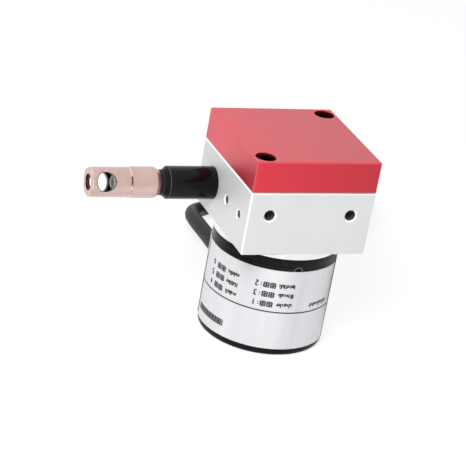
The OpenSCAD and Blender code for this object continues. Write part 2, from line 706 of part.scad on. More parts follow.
// The clip is turned out wider at its cross hole, so a pin bears on the two walls and the ferrule passes
module wire_clip() color([0.85, 0.71, 0.66]) difference() {
    on_wire_line(x_clip) rotate_extrude() polygon([
        [0, 0], [clip_d / 2 - clip_nose[1], 0], [clip_d / 2, clip_nose[0]],
        [clip_d / 2, x_clip - x_shoulder], [clip_thin_d / 2, x_clip - x_shoulder],
        [clip_thin_d / 2, x_clip - x_clip_end - clip_end_bevel],
        [clip_thin_d / 2 - clip_end_bevel, x_clip - x_clip_end], [0, x_clip - x_clip_end]
    ]);
    on_wire_line(x_clip + cut) cylinder(r = wire_hole_r, h = clip_len);
    on_wire_line(x_clip - clip_wall) cylinder(d = clip_bore, h = clip_len);
    on_wire_line(x_clip_end - eye_bevel) mirror([0, 0, 1]) translate([0, 0, -2 * eye_bevel - fit])
        cylinder(r1 = clip_bore / 2 + 2 * eye_bevel, r2 = clip_bore / 2, h = 2 * eye_bevel);
    on_wire_line(x_eye + eye_d / 2 + recess_side) cylinder(r = recess_r, h = eye_d + 2 * recess_side);
    translate([x_eye, wire_offset, z_wire]) rotate([90 - clip_turn, 0, 0])
        cylinder(d = eye_d, h = 2 * clip_d, center = true);
}

block();
lid();
lid_seal();
lid_screws();
spring_plate();
power_spring();
spring_post();
adapter_flange();
flange_screws();
wire_nozzle();
guide_eyelets();
bumper_ring();
bearing_outer_rings();
bearing_balls();
bearing_spacer();
encoder_flange();
encoder_can();
can_screws();
label();
circuit_board();
board_parts();
board_pillars();
board_screws();
led_bracket();
led();
cable_gland();
cable_tube();
cable_coil();
lead_ends();
drum();
wound_wire();
drum_grub_screw();
spring_arbor();
bearing_inner_rings();
encoder_shaft();
shaft_circlip();
disc_hub();
code_disc();
draw_wire();
wire_ferrule();
wire_clip();
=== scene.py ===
"""Looks of the draw wire encoder: finishes, cable, wire, threads and label print
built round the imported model. Lengths given in millimetres are multiplied by MM."""
import json
import math
import random

import bmesh
import bpy
from mathutils import Matrix, Vector


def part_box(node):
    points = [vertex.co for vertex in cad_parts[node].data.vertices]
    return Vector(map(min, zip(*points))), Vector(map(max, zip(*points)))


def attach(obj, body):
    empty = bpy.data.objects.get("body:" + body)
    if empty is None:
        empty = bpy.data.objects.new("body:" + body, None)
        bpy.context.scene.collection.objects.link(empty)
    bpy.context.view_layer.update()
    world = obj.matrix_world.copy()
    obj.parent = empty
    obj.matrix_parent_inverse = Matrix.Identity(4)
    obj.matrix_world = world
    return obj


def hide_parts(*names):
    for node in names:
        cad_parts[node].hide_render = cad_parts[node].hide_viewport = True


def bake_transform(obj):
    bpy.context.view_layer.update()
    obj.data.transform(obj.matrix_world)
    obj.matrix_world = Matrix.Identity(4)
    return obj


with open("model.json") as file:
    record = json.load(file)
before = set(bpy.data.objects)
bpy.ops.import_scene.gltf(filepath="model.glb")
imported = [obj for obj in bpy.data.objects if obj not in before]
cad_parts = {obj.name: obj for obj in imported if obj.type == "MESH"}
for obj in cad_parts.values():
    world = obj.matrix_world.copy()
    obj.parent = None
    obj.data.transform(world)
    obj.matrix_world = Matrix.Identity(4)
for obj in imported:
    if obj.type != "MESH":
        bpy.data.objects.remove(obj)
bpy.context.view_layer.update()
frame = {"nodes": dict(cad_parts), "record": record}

MM = 0.001
scene = bpy.context.scene
scene.view_settings.view_transform = "Standard"
NODES = frame["nodes"]


def corners(node):
    """Lowest and highest corner of a CAD node as vectors."""
    low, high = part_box(node)
    return Vector(low), Vector(high)


def middle(node):
    """The middle of a CAD node's box."""
    low, high = corners(node)
    return (low + high) / 2


# ---------- camera ----------

def add_camera():
    """The photograph's view: a long lens, turned about its own axis so that the encoder leans."""
    azimuth, elevation, roll = (math.radians(a) for a in (-25.06, 24.0, 10.58))
    aim = Vector((-14.2, 0.4, 31.8)) * MM
    distance = 721.2 * MM
    look = Vector((
        -math.sin(azimuth) * math.cos(elevation),
        math.cos(azimuth) * math.cos(elevation),
        -math.sin(elevation),
    ))
    data = bpy.data.cameras.new("camera")
    data.lens = 185.2
    data.sensor_width = 36
    data.clip_start = 0.05
    data.clip_end = 20
    camera = bpy.data.objects.new("camera", data)
    scene.collection.objects.link(camera)
    level = look.to_track_quat("-Z", "Y").to_matrix().to_4x4()
    camera.matrix_world = (
        Matrix.Translation(aim - look * distance) @ level @ Matrix.Rotation(roll, 4, "Z")
    )
    scene.camera = camera


add_camera()


# ---------- new pieces ----------

SHARP_EDGE = math.radians(35)    # an edge that turns by more than this stays crisp


def new_mesh(name, verts, faces):
    """A smooth mesh object of these points and faces, with its normals made consistent."""
    mesh = bpy.data.meshes.new(name)
    mesh.from_pydata([tuple(v) for v in verts], [], faces)
    bm = bmesh.new()
    bm.from_mesh(mesh)
    bmesh.ops.recalc_face_normals(bm, faces=bm.faces)
    bm.to_mesh(mesh)
    bm.free()
    mesh.shade_smooth()
    piece = bpy.data.objects.new(name, mesh)
    scene.collection.objects.link(piece)
    return piece


def crease(piece):
    """Keeps the sharp edges of a smooth piece crisp."""
    bm = bmesh.new()
    bm.from_mesh(piece.data)
    for edge in bm.edges:
        edge.smooth = len(edge.link_faces) == 2 and edge.calc_face_angle() < SHARP_EDGE
    bm.to_mesh(piece.data)
    bm.free()


# ---------- materials ----------

# How squarely a face looks along an axis: below the one it is a bevel, above the other it isn't
TILTED = (0.93, 0.97)
ROPE_LAY = 3.2 * MM      # length of one turn of the draw wire's strands
ROPE_STRANDS = 7.0
# Colours of the cable's cores
CORES = {
    "red": (190, 44, 40), "black": (34, 34, 36), "green": (38, 120, 62),
    "white": (232, 232, 228), "brown": (110, 66, 42), "grey": (140, 142, 146),
}


def linear(colour):
    """A display colour, 0 to 255 a channel, as the linear values that shaders take."""
    values = []
    for c in colour:
        c = c / 255
        values.append(c / 12.92 if c <= 0.04045 else ((c + 0.055) / 1.055) ** 2.4)
    return (*values, 1.0)


def math_node(tree, operation, *values, clamp=False):
    """Result of a Math node on these values, each a number or a socket."""
    made = tree.nodes.new("ShaderNodeMath")
    made.operation = operation
    made.use_clamp = clamp
    for value, target in zip(values, made.inputs):
        if isinstance(value, (int, float)):
            target.default_value = value
        else:
            tree.links.new(value, target)
    return made.outputs[0]


class Look:
    """A Principled material under construction; its methods add nodes and wire them up."""

    def __init__(self, name, colour, metallic=0.0, roughness=0.5, **sockets):
        self.material = bpy.data.materials.new(name)
        self.material.use_nodes = True
        self.tree = self.material.node_tree
        self.shader = self.tree.nodes["Principled BSDF"]
        self.colour = linear(colour)
        self.shader.inputs["Base Color"].default_value = self.colour
        self.shader.inputs["Metallic"].default_value = metallic
        self.shader.inputs["Roughness"].default_value = roughness
        for socket, value in sockets.items():
            self.shader.inputs[socket.replace("_", " ")].default_value = value
        self.roughness = roughness
        self.bumps = None
        self.coordinates = self.node("ShaderNodeTexCoord").outputs["Object"]

    def node(self, kind, **settings):
        made = self.tree.nodes.new(kind)
        for key, value in settings.items():
            setattr(made, key, value)
        return made

    def link(self, source, target):
        self.tree.links.new(source, target)

    def math(self, operation, *values):
        return math_node(self.tree, operation, *values)

    def stretched(self, scale):
        """The object's coordinates, scaled by axis."""
        mapping = self.node("ShaderNodeMapping")
        mapping.inputs["Scale"].default_value = scale
        self.link(self.coordinates, mapping.inputs["Vector"])
        return mapping.outputs["Vector"]

    def noise(self, size_mm, detail=3.0, stretch=(1, 1, 1)):
        """Noise whose features are about this many millimetres across."""
        made = self.node("ShaderNodeTexNoise")
        made.inputs["Scale"].default_value = 1 / (size_mm * MM)
        made.inputs["Detail"].default_value = detail
        self.link(self.stretched(stretch), made.inputs["Vector"])
        return made.outputs["Fac"]

    def span(self, value, low, high, to_low, to_high):
        """value from low..high brought to to_low..to_high."""
        made = self.node("ShaderNodeMapRange")
        made.inputs["From Min"].default_value = low
        made.inputs["From Max"].default_value = high
        made.inputs["To Min"].default_value = to_low
        made.inputs["To Max"].default_value = to_high
        self.link(value, made.inputs["Value"])
        return made.outputs["Result"]

    def paint(self, factor, colour):
        """Lays a colour over what the base colour is so far, where factor is 1."""
        mix = self.node("ShaderNodeMix", data_type="RGBA")
        target = self.shader.inputs["Base Color"]
        if target.links:
            self.link(target.links[0].from_socket, mix.inputs["A"])
        else:
            mix.inputs["A"].default_value = self.colour
        mix.inputs["B"].default_value = linear(colour)
        self.link(factor, mix.inputs["Factor"])
        self.link(mix.outputs["Result"], target)
        return self

    def vary(self, size_mm, colour, amount=1.0, stretch=(1, 1, 1), low=0.35, high=0.7):
        """Clouds of another colour."""
        noise = self.noise(size_mm, 4.0, stretch)
        return self.paint(self.span(noise, low, high, 0.0, amount), colour)

    def rough(self, size_mm, by, stretch=(1, 1, 1)):
        """Roughness that wanders by this much about its value."""
        noise = self.noise(size_mm, 2.0, stretch)
        value = self.span(noise, 0.3, 0.7, self.roughness - by, self.roughness + by)
        self.link(value, self.shader.inputs["Roughness"])
        return self

    def bump(self, height, depth_mm):
        """A bump from a height from 0 to 1, on top of the bumps so far."""
        made = self.node("ShaderNodeBump")
        made.inputs["Strength"].default_value = 1.0
        made.inputs["Distance"].default_value = depth_mm * MM
        self.link(height, made.inputs["Height"])
        if self.bumps:
            self.link(self.bumps, made.inputs["Normal"])
        self.bumps = made.outputs["Normal"]
        self.link(self.bumps, self.shader.inputs["Normal"])
        return self

    def grain(self, size_mm, depth_mm, stretch=(1, 1, 1)):
        return self.bump(self.noise(size_mm, 2.0, stretch), depth_mm)

    def axis_place(self, axis):
        """The place along an axis: 0, 1 or 2."""
        parts = self.node("ShaderNodeSeparateXYZ")
        self.link(self.coordinates, parts.inputs[0])
        return parts.outputs[axis]

    def distance_from_line(self, axis, centre):
        """How far a point lies from the line along an axis (0, 1 or 2) through centre."""
        squares = []
        for i in range(3):
            if i != axis:
                offset = self.math("SUBTRACT", self.axis_place(i), centre[i])
                squares.append(self.math("MULTIPLY", offset, offset))
        return self.math("SQRT", self.math("ADD", *squares))

    def rings(self, axis, centre, pitch_mm, depth_mm):
        """Fine turning marks: rings about an axis (0, 1 or 2) through centre, and along it."""
        radius = self.distance_from_line(axis, centre)
        place = self.math("ADD", radius, self.axis_place(axis))
        wobble = self.math("MULTIPLY", self.noise(4.0), 0.4 * pitch_mm * MM)
        phase = self.math("MULTIPLY", self.math("ADD", place, wobble), math.tau / (pitch_mm * MM))
        height = self.span(self.math("SINE", phase), -1.0, 1.0, 0.0, 1.0)
        return self.bump(height, depth_mm)

    def bevels(self, colour, roughness):
        """Painted highlight: a brighter colour and a smoother finish where the surface faces along no
        axis, as on bevel faces and countersinks.
        """
        normal = self.node("ShaderNodeTexCoord").outputs["Normal"]
        parts = self.node("ShaderNodeSeparateXYZ")
        self.link(normal, parts.inputs[0])
        facing = [self.math("ABSOLUTE", parts.outputs[i]) for i in range(3)]
        most = self.math("MAXIMUM", self.math("MAXIMUM", facing[0], facing[1]), facing[2])
        tilted = self.span(most, *TILTED, 1.0, 0.0)
        self.paint(tilted, colour)
        mix = self.node("ShaderNodeMix", data_type="FLOAT")
        target = self.shader.inputs["Roughness"]
        if target.links:
            self.link(target.links[0].from_socket, mix.inputs["A"])
        else:
            mix.inputs["A"].default_value = self.roughness
        mix.inputs["B"].default_value = roughness
        self.link(tilted, mix.inputs["Factor"])
        self.link(mix.outputs["Result"], target)
        return self


def block_metal():
    look = Look("block_metal", (222, 223, 223), metallic=0.35, roughness=0.5)
    look.vary(9.0, (216, 217, 217), 0.8).rough(0.6, 0.06)
    look.grain(0.12, 0.004).grain(0.5, 0.003)
    # Painted highlight: near white on the block's bevels and countersink rims
    return look.bevels((252, 252, 252), 0.25).material


def lid_metal():
    """Red anodising, with painted shade: darker to the right, dark in its counterbores and along its
    foot, where it meets the block.
    """
    look = Look("lid_metal", (226, 36, 62), metallic=0.93, roughness=0.46, Coat_Weight=0.9,
                Coat_Roughness=0.35)
    look.vary(12.0, (216, 32, 54), 0.8).rough(0.6, 0.05)
    low, high = corners("lid")
    # Painted shade: the red darkens towards +X, the side away from the light
    look.paint(look.span(look.axis_place(0), low.x, high.x, 0.0, 0.8), (196, 26, 42))
    # Painted highlight: light pink on the lid's bevels
    look.grain(0.12, 0.004).bevels((230, 74, 90), 0.32)
    height = look.axis_place(2)
    # Painted shade: near black in the counterbores, below the top face and away from the sides
    aside = look.math("MAXIMUM", look.math("ABSOLUTE", look.axis_place(0)),
                      look.math("ABSOLUTE", look.axis_place(1)))
    within = look.span(aside, high.x - 0.6 * MM, high.x - 0.5 * MM, 1.0, 0.0)
    deep = look.span(height, high.z - 1.2 * MM, high.z - 0.4 * MM, 1.0, 0.0)
    look.paint(look.math("MULTIPLY", within, deep), (58, 4, 10))
    # Painted shade: dark red along the lid's foot, in the groove where it meets the block
    foot = look.span(height, low.z + 0.3 * MM, low.z + 0.4 * MM, 1.0, 0.0)
    return look.paint(foot, (84, 8, 16)).material


def machined_metal():
    look = Look("machined_metal", (240, 241, 243), metallic=1.0, roughness=0.22)
    look.vary(3.0, (224, 226, 229), 0.8).rough(0.8, 0.06)
    return look.rings(2, (0, 0, 0), 0.18, 0.004).material


def black_metal():
    """Black anodising over fine turning streaks."""
    look = Look("black_metal", (9, 9, 10), roughness=0.26, Specular_IOR_Level=0.14)
    look.vary(2.4, (34, 35, 38), 0.8, stretch=(0.12, 0.12, 2.0), low=0.45, high=0.75)
    return look.rough(0.7, 0.06, stretch=(0.2, 0.2, 2.0)).grain(0.15, 0.004).material


def nozzle_black():
    look = Look("nozzle_black", (3, 3, 4), roughness=0.2, Specular_IOR_Level=0.2)
    look.vary(4.0, (6, 6, 7), 0.7).rough(3.0, 0.03)
    return look.grain(0.4, 0.001).material


def worn_edge():
    """Painted highlight: light grey metal for thin rings that stand for the light caught on edges."""
    look = Look("worn_edge", (104, 107, 106), metallic=0.7, roughness=0.3)
    return look.vary(0.8, (70, 72, 72), 0.7).grain(0.1, 0.002).material


def label_film():
    look = Look("label_film", (224, 225, 226), metallic=0.25, roughness=0.26)
    # Painted reflection: long upright lilac-grey bands stand for the room mirrored in the film
    look.vary(11.0, (206, 207, 215), 1.0, stretch=(1, 1, 0.08))
    return look.rough(7.0, 0.02, stretch=(1, 1, 0.1)).material


def ink():
    look = Look("ink", (30, 30, 34), roughness=0.5)
    return look.vary(0.5, (48, 48, 52), 0.8).grain(0.1, 0.003).material


def eye_place():
    """The clip's eye: its axis, its centre and its radius."""
    eye = next(m for m in frame["record"]["mounts"] if m["name"] == "clip_eye")
    return Vector(eye["axis"]), Vector(eye["pos_m"]), eye["dims"]["r_mm"] * MM


def clip_metal():
    """Copper coloured anodising, with painted shade: dark grey in the eye and the bore."""
    low, high = corners("wire_clip")
    look = Look("clip_metal", (218, 189, 182), metallic=1.0, roughness=0.34)
    look.vary(2.5, (208, 178, 170), 0.8).rough(0.5, 0.06)
    axis, centre, eye_r = eye_place()
    offset = look.node("ShaderNodeVectorMath", operation="SUBTRACT")
    look.link(look.coordinates, offset.inputs[0])
    offset.inputs[1].default_value = centre
    aside = look.node("ShaderNodeVectorMath", operation="CROSS_PRODUCT")
    look.link(offset.outputs["Vector"], aside.inputs[0])
    aside.inputs[1].default_value = axis
    distance = look.node("ShaderNodeVectorMath", operation="LENGTH")
    look.link(aside.outputs["Vector"], distance.inputs[0])
    in_eye = look.span(distance.outputs["Value"], eye_r + 0.02 * MM, eye_r + 0.06 * MM, 1.0, 0.0)
    line = middle("wire_clip")
    clip_r = high.z - line.z
    inner_r = look.distance_from_line(0, line)
    in_bore = look.span(inner_r, clip_r - 1.4 * MM, clip_r - 1.3 * MM, 1.0, 0.0)
    beyond_face = look.span(look.axis_place(0), low.x + 0.05 * MM, low.x + 0.1 * MM, 0.0, 1.0)
    in_bore = look.math("MULTIPLY", in_bore, beyond_face)
    # Painted shade: dark grey inside the eye and the bore
    look.paint(look.math("MAXIMUM", in_eye, in_bore), (74, 66, 62))
    return look.rings(0, line, 0.2, 0.001).material


def clip_polish():
    """The clip's bright cut edges."""
    look = Look("clip_polish", (240, 218, 210), metallic=1.0, roughness=0.12)
    return look.vary(1.0, (226, 198, 188), 0.6).rough(0.3, 0.04).material


def clip_shade():
    """Painted shade: dark brown, for the clip's threaded mouth and the shaded side of its eye rims.
    """
    look = Look("clip_shade", (116, 74, 60), metallic=1.0, roughness=0.3)
    return look.vary(0.8, (84, 52, 44), 0.8).grain(0.1, 0.004).material


def thread_metal():
    # Painted shade: the block's aluminium drawn darker grey, as it looks deep in the tapped holes
    look = Look("thread_metal", (130, 130, 132), metallic=0.6, roughness=0.35)
    return look.vary(0.6, (98, 98, 100), 0.8).grain(0.1, 0.004).material


def crimp():
    """The sleeve's steel, bright at the rim of its end, with painted shade: near black over its
    middle round the wire.
    """
    low, high = corners("wire_ferrule")
    look = Look("crimp", (186, 180, 174), metallic=1.0, roughness=0.22)
    radius = look.distance_from_line(0, middle("wire_ferrule"))
    sleeve_r = (high.z - low.z) / 2
    # Painted shade: near black within the middle of the sleeve, where the wire goes in
    look.paint(look.span(radius, 0.6 * sleeve_r, 0.75 * sleeve_r, 1.0, 0.0), (24, 22, 22))
    return look.vary(0.7, (96, 90, 86), 0.5).grain(0.12, 0.02).material


def steel():
    look = Look("steel", (178, 180, 184), metallic=1.0, roughness=0.3)
    look.vary(1.2, (156, 158, 162), 0.8).rough(0.3, 0.08)
    return look.grain(0.08, 0.003).material


def bearing_steel():
    look = Look("bearing_steel", (204, 206, 210), metallic=1.0, roughness=0.14)
    look.vary(1.5, (190, 192, 197), 0.6).rough(0.4, 0.04)
    return look.grain(0.06, 0.001).material


def spring_steel():
    look = Look("spring_steel", (98, 104, 120), metallic=1.0, roughness=0.28)
    look.vary(3.0, (122, 108, 92), 0.7).rough(0.5, 0.06)
    return look.grain(0.1, 0.002, stretch=(1, 1, 0.1)).material


def black_steel():
    look = Look("black_steel", (30, 30, 33), metallic=0.4, roughness=0.4, Specular_IOR_Level=0.3)
    look.vary(0.8, (46, 45, 44), 0.7).rough(0.4, 0.08)
    return look.grain(0.1, 0.005).material


def brass():
    look = Look("brass", (212, 184, 112), metallic=1.0, roughness=0.24)
    look.vary(1.0, (190, 158, 86), 0.6).rough(0.4, 0.06)
    return look.rings(2, (0, 0, 0), 0.12, 0.002).material


def drum_plastic():
    look = Look("drum_plastic", (205, 199, 184), roughness=0.45)
    look.vary(2.0, (192, 186, 170), 0.7).rough(0.6, 0.06)
    return look.rings(2, (0, 0, 0), 0.15, 0.003).material


def ceramic():
    look = Look("ceramic", (238, 236, 226), roughness=0.12, Coat_Weight=0.6, Coat_Roughness=0.05)
    look.vary(0.8, (226, 222, 208), 0.6).rough(0.5, 0.03)
    return look.grain(0.2, 0.001).material


def rubber():
    look = Look("rubber", (23, 23, 24), roughness=0.55, Specular_IOR_Level=0.25)
    look.vary(1.5, (33, 33, 34), 0.8).rough(0.5, 0.08)
    return look.grain(0.12, 0.01).material


def board():
    """Green lacquer over a pattern of straight copper tracks."""
    look = Look("board", (16, 92, 50), roughness=0.3, Coat_Weight=0.5, Coat_Roughness=0.1)
    bricks = look.node("ShaderNodeTexBrick")
    bricks.inputs["Scale"].default_value = 1 / (6 * MM)
    bricks.inputs["Mortar Size"].default_value = 0.035
    bricks.inputs["Mortar Smooth"].default_value = 0.2
    look.link(look.coordinates, bricks.inputs["Vector"])
    look.paint(bricks.outputs["Fac"], (40, 132, 72)).vary(1.5, (12, 78, 42), 0.5)
    return look.bump(bricks.outputs["Fac"], 0.03).grain(0.1, 0.003).material


def chip():
    look = Look("chip", (34, 34, 36), roughness=0.55)
    look.vary(0.4, (46, 46, 48), 0.8).rough(0.3, 0.08)
    return look.grain(0.08, 0.006).material


def clear():
    look = Look("clear", (214, 226, 230), roughness=0.06, Transmission_Weight=0.9, IOR=1.49)
    look.vary(1.0, (200, 216, 222), 0.5)
    return look.grain(0.6, 0.001).material


def cable_jacket():
    look = Look("cable_jacket", (42, 42, 47), roughness=0.48, Specular_IOR_Level=0.25)
    look.vary(3.0, (35, 35, 40), 0.8).rough(1.0, 0.07)
    return look.grain(0.2, 0.008).grain(1.5, 0.01).material


def core_insulation(name, colour):
    look = Look("core_" + name, colour, roughness=0.35)
    dull = tuple(0.86 * c for c in colour)
    return look.vary(0.8, dull, 0.7).grain(0.15, 0.003).material


def copper():
    look = Look("tinned_copper", (196, 186, 176), metallic=1.0, roughness=0.3)
    return look.vary(0.3, (188, 140, 110), 0.8).grain(0.06, 0.01, stretch=(0.3, 0.3, 1)).material


def wire_rope():
    """Steel strands laid round the wire's line, with painted shade in the grooves between them."""
    line = middle("wire_ferrule")
    look = Look("wire_rope", (98, 100, 104), metallic=0.8, roughness=0.38)
    angle = look.math(
        "ARCTAN2",
        look.math("SUBTRACT", look.axis_place(2), line.z),
        look.math("SUBTRACT", look.axis_place(1), line.y),
    )
    lay = look.math("MULTIPLY", look.axis_place(0), math.tau / ROPE_LAY)
    strands = look.math("MULTIPLY", look.math("ADD", angle, lay), ROPE_STRANDS)
    height = look.span(look.math("SINE", strands), -1.0, 1.0, 0.0, 1.0)
    # Painted shade: dark grey in the grooves between the strands
    look.paint(look.span(height, 0.0, 0.35, 1.0, 0.0), (46, 47, 50))
    return look.bump(height, 0.05).grain(0.05, 0.002).material


MATERIALS = {
    make.__name__: make()
    for make in (
        block_metal, lid_metal, machined_metal, black_metal, nozzle_black, label_film, clip_metal,
        steel, bearing_steel, spring_steel, black_steel, brass, drum_plastic, ceramic, rubber,
        board, chip, clear, cable_jacket,
    )
}
MATERIALS["wire_insulation"] = core_insulation("red", CORES["red"])


def dress(piece, slot, material=None):
    """Gives a new piece the look of a material slot, or its own."""
    piece.data.materials.clear()
    piece.data.materials.append(material or MATERIALS[slot])


def dress_cad_nodes():
    """Every CAD node gets the look of its slot, and two of them a look of their own."""
    for part in frame["record"]["subparts"]:
        node = NODES[part["node"]]
        for place in node.material_slots:
            place.material = MATERIALS[part["material_slot"]]
    for place in NODES["wire_ferrule"].material_slots:
        place.material = crimp()
    for place in NODES["can_screws"].material_slots:
        place.material = MATERIALS["black_steel"]


dress_cad_nodes()


# ---------- cable: one cord from the strain relief through its coil ----------

CABLE_D = 5.0 * MM
# The cable's middle from the strain relief to the coil, in millimetres
CABLE_ROUTE = [
    (0, 34.5, 6.7), (0, 44, 6.7), (0, 53, 6.7), (0, 60.4, 6.6),
    (0.7, 65.6, 6.2), (2.7, 70.4, 5.2), (5.9, 74.5, 4.1), (8, 76.4, 3.4),
    (10.1, 78.3, 2.9), (12, 80.4, 2.6), (14.1, 83.9, 2.5),
]
# Where the coil's turns lie one after another: columns and layers of the coil's solid
COIL_PLACES = [(1, 0), (0, 0), (0, 1), (1, 1), (1, 2), (0, 2)]
COIL_START = 165         # the angle at which the cable meets the coil, in degrees
COIL_STEP = 6            # degrees between the coil's points
COIL_TURN = 300          # degrees that the cable stays in a place, its change of place included
COIL_SHIFT = 60          # degrees that a change of place takes
COIL_END = 1815          # degrees wound in all
# The cores beyond the cable's cut end, lengths in millimetres
CORE_R = 0.42
BARE_R = 0.22            # of a core's tinned tip
CORE_RING = 1.3          # how far the cores lie from the cable's middle where they leave it
CORE_END_R = 20.7        # how far the first core's tip lies from the coil's middle
CORE_END_STEP = 0.72     # and how much further each next one
CORE_SWEEP = 50          # degrees round the coil that the first core takes
CORE_POINTS = 25
BARE_FROM = 20           # the point where a core's tip begins


def coil_point(degrees):
    """The cable's middle after it has turned this far clockwise round the coil."""
    low, high = corners("cable_coil")
    centre = middle("cable_coil")
    outer = (high.x - low.x) / 2 - CABLE_D / 2
    place = min(int(degrees / COIL_TURN), len(COIL_PLACES) - 1)
    since = degrees - place * COIL_TURN
    column, layer = COIL_PLACES[place]
    if place and since < COIL_SHIFT:
        eased = 0.5 - 0.5 * math.cos(math.pi * since / COIL_SHIFT)
        last_column, last_layer = COIL_PLACES[place - 1]
        column = last_column + (column - last_column) * eased
        layer = last_layer + (layer - last_layer) * eased
    radius = outer - (1 - column) * CABLE_D
    angle = math.radians(COIL_START - degrees)
    return Vector((
        centre.x + radius * math.cos(angle),
        centre.y + radius * math.sin(angle),
        low.z + (layer + 0.5) * CABLE_D,
    ))


def through(points, steps=5):
    """A smooth line through points (Catmull-Rom)."""
    ends = [points[0] * 2 - points[1], *points, points[-1] * 2 - points[-2]]
    line = []
    for a, b, c, d in zip(ends, ends[1:], ends[2:], ends[3:]):
        for i in range(steps):
            t = i / steps
            line.append(0.5 * (
                2 * b + (c - a) * t + (2 * a - 5 * b + 4 * c - d) * t ** 2
                + (3 * b - a - 3 * c + d) * t ** 3
            ))
    return line + [points[-1]]


def tube_curve(name, points, diameter):
    """A round tube along points, as a curve of one open spline."""
    data = bpy.data.curves.new(name, "CURVE")
    data.dimensions = "3D"
    data.bevel_depth = diameter / 2
    data.bevel_resolution = 5
    data.use_fill_caps = True
    spline = data.splines.new("POLY")
    spline.points.add(len(points) - 1)
    for place, point in zip(spline.points, points):
        place.co = (*point, 1)
    spline.use_smooth = True
    piece = bpy.data.objects.new(name, data)
    scene.collection.objects.link(piece)
    return piece


def tube_mesh(verts, faces, points, radius, sides=12):
    """Adds a closed round tube along points to lists of vertices and faces."""
    first = len(verts)
    for i, point in enumerate(points):
        ahead = points[min(i + 1, len(points) - 1)] - points[max(i - 1, 0)]
        across = ahead.cross(Vector((0, 0, 1))).normalized()
        up = across.cross(ahead).normalized()
        for k in range(sides):
            turn = math.tau * k / sides
            verts.append(point + radius * (math.cos(turn) * across + math.sin(turn) * up))
    for i in range(len(points) - 1):
        for k in range(sides):
            a, b = first + i * sides + k, first + i * sides + (k + 1) % sides
            faces.append((a, b, b + sides, a + sides))
    faces.append(tuple(first + k for k in range(sides)))
    faces.append(tuple(first + (len(points) - 1) * sides + k for k in range(sides)))


def make_cable():
    """The whole cable, and the line that its middle follows."""
    route = [Vector(p) * MM for p in CABLE_ROUTE]
    coil = [coil_point(d) for d in range(0, COIL_END, COIL_STEP)] + [coil_point(COIL_END)]
    line = through(route + [coil[0]]) + coil[1:]
    cable = tube_curve("cable", line, CABLE_D)
    dress(cable, "cable_jacket")
    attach(cable, "housing")
    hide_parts("cable_tube", "cable_coil")
    return cable, line


def make_cores(cable_line):
    """Six cores fan out of the cable's cut end, each with a short bared tip."""
    floor_z = corners("lead_ends")[0].z
    centre = middle("cable_coil")
    end = cable_line[-1]
    start_angle = math.radians(COIL_START - COIL_END)
    verts, faces, marks = [], [], []
    for i in range(len(CORES)):
        turn = math.tau * i / len(CORES)
        ring = Vector((0.4 * math.cos(turn), math.cos(turn), math.sin(turn)))
        start = end + CORE_RING * MM * ring
        start_r = (start.xy - centre.xy).length
        last_r = CORE_END_R * MM + i * CORE_END_STEP * MM
        sweep = math.radians(CORE_SWEEP - 2.5 * (i % 3))
        path = []
        for k in range(CORE_POINTS):
            t = k / (CORE_POINTS - 1)
            eased = 0.5 - 0.5 * math.cos(math.pi * min(1.0, 1.6 * t))
            angle = start_angle - sweep * t
            radius = start_r + (last_r - start_r) * eased
            height = start.z + (floor_z + CORE_R * MM - start.z) * eased
            path.append(Vector((
                centre.x + radius * math.cos(angle), centre.y + radius * math.sin(angle), height
            )))
        count = len(faces)
        tube_mesh(verts, faces, path[:BARE_FROM + 1], CORE_R * MM)
        marks += [i] * (len(faces) - count)
        count = len(faces)
        tube_mesh(verts, faces, path[BARE_FROM:], BARE_R * MM, 8)
        marks += [len(CORES)] * (len(faces) - count)
    cores = new_mesh("cable_cores", verts, faces)
    crease(cores)
    for name, colour in CORES.items():
        cores.data.materials.append(core_insulation(name, colour))
    cores.data.materials.append(copper())
    for face, mark in zip(cores.data.polygons, marks):
        face.material_index = mark
    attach(cores, "housing")
    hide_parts("lead_ends")
    return cores


cable, cable_line = make_cable()
cores = make_cores(cable_line)
tuple(cable_line[0])


# ---------- turned pieces ----------

def along(direction, start):
    """The placing that puts a piece's own +X along direction, with its own origin at start."""
    turn = Vector((1, 0, 0)).rotation_difference(Vector(direction)).to_matrix().to_4x4()
    return Matrix.Translation(start) @ turn


def turned(name, profile, place, sides=96, cut=None, capped=True):
    """A piece turned about its own X: profile holds (x, radius) pairs in millimetres, and place
    puts it in the shared frame. cut(x, angle) is how much deeper the surface is there."""
    verts, faces = [], []
    for x, radius in profile:
        for k in range(sides):
            angle = math.tau * k / sides
            r = radius - (cut(x, angle) if cut else 0)
            verts.append(place @ (Vector((x, r * math.cos(angle), r * math.sin(angle))) * MM))
    rows = len(profile)
    for i in range(rows - 1):
        for k in range(sides):
            a, b = i * sides + k, i * sides + (k + 1) % sides
            faces.append((a, b, b + sides, a + sides))
    if capped:
        faces.append(tuple(range(sides)))
        faces.append(tuple((rows - 1) * sides + k for k in range(sides)))
    piece = new_mesh(name, verts, faces)
    crease(piece)
    return piece


# The strain relief and the threads, lengths in millimetres
TAPER_START = 4.0        # where its collar ends
TAPER_STEPS = 140
TIP_ROUND = 0.3
RIB_START = 4.6          # where its slots begin
RIB_END = 1.6            # how far before the tip they end
RIB_PITCH = 1.5          # from one slotted rib to the next
RIB_DEPTH = 0.55
THREAD_ROWS = 8          # rows of points in one turn of a thread
THREAD_SIDES = 40
THREAD_RIDGE = 0.16      # height of a thread's ridge, in pitches
# The block's tapped holes by mount: the thread's pitch, its end and its start
THREADS = {"front_holes": (0.7, 6.4, 0.5), "side_holes": (0.5, 4.1, 0.4)}


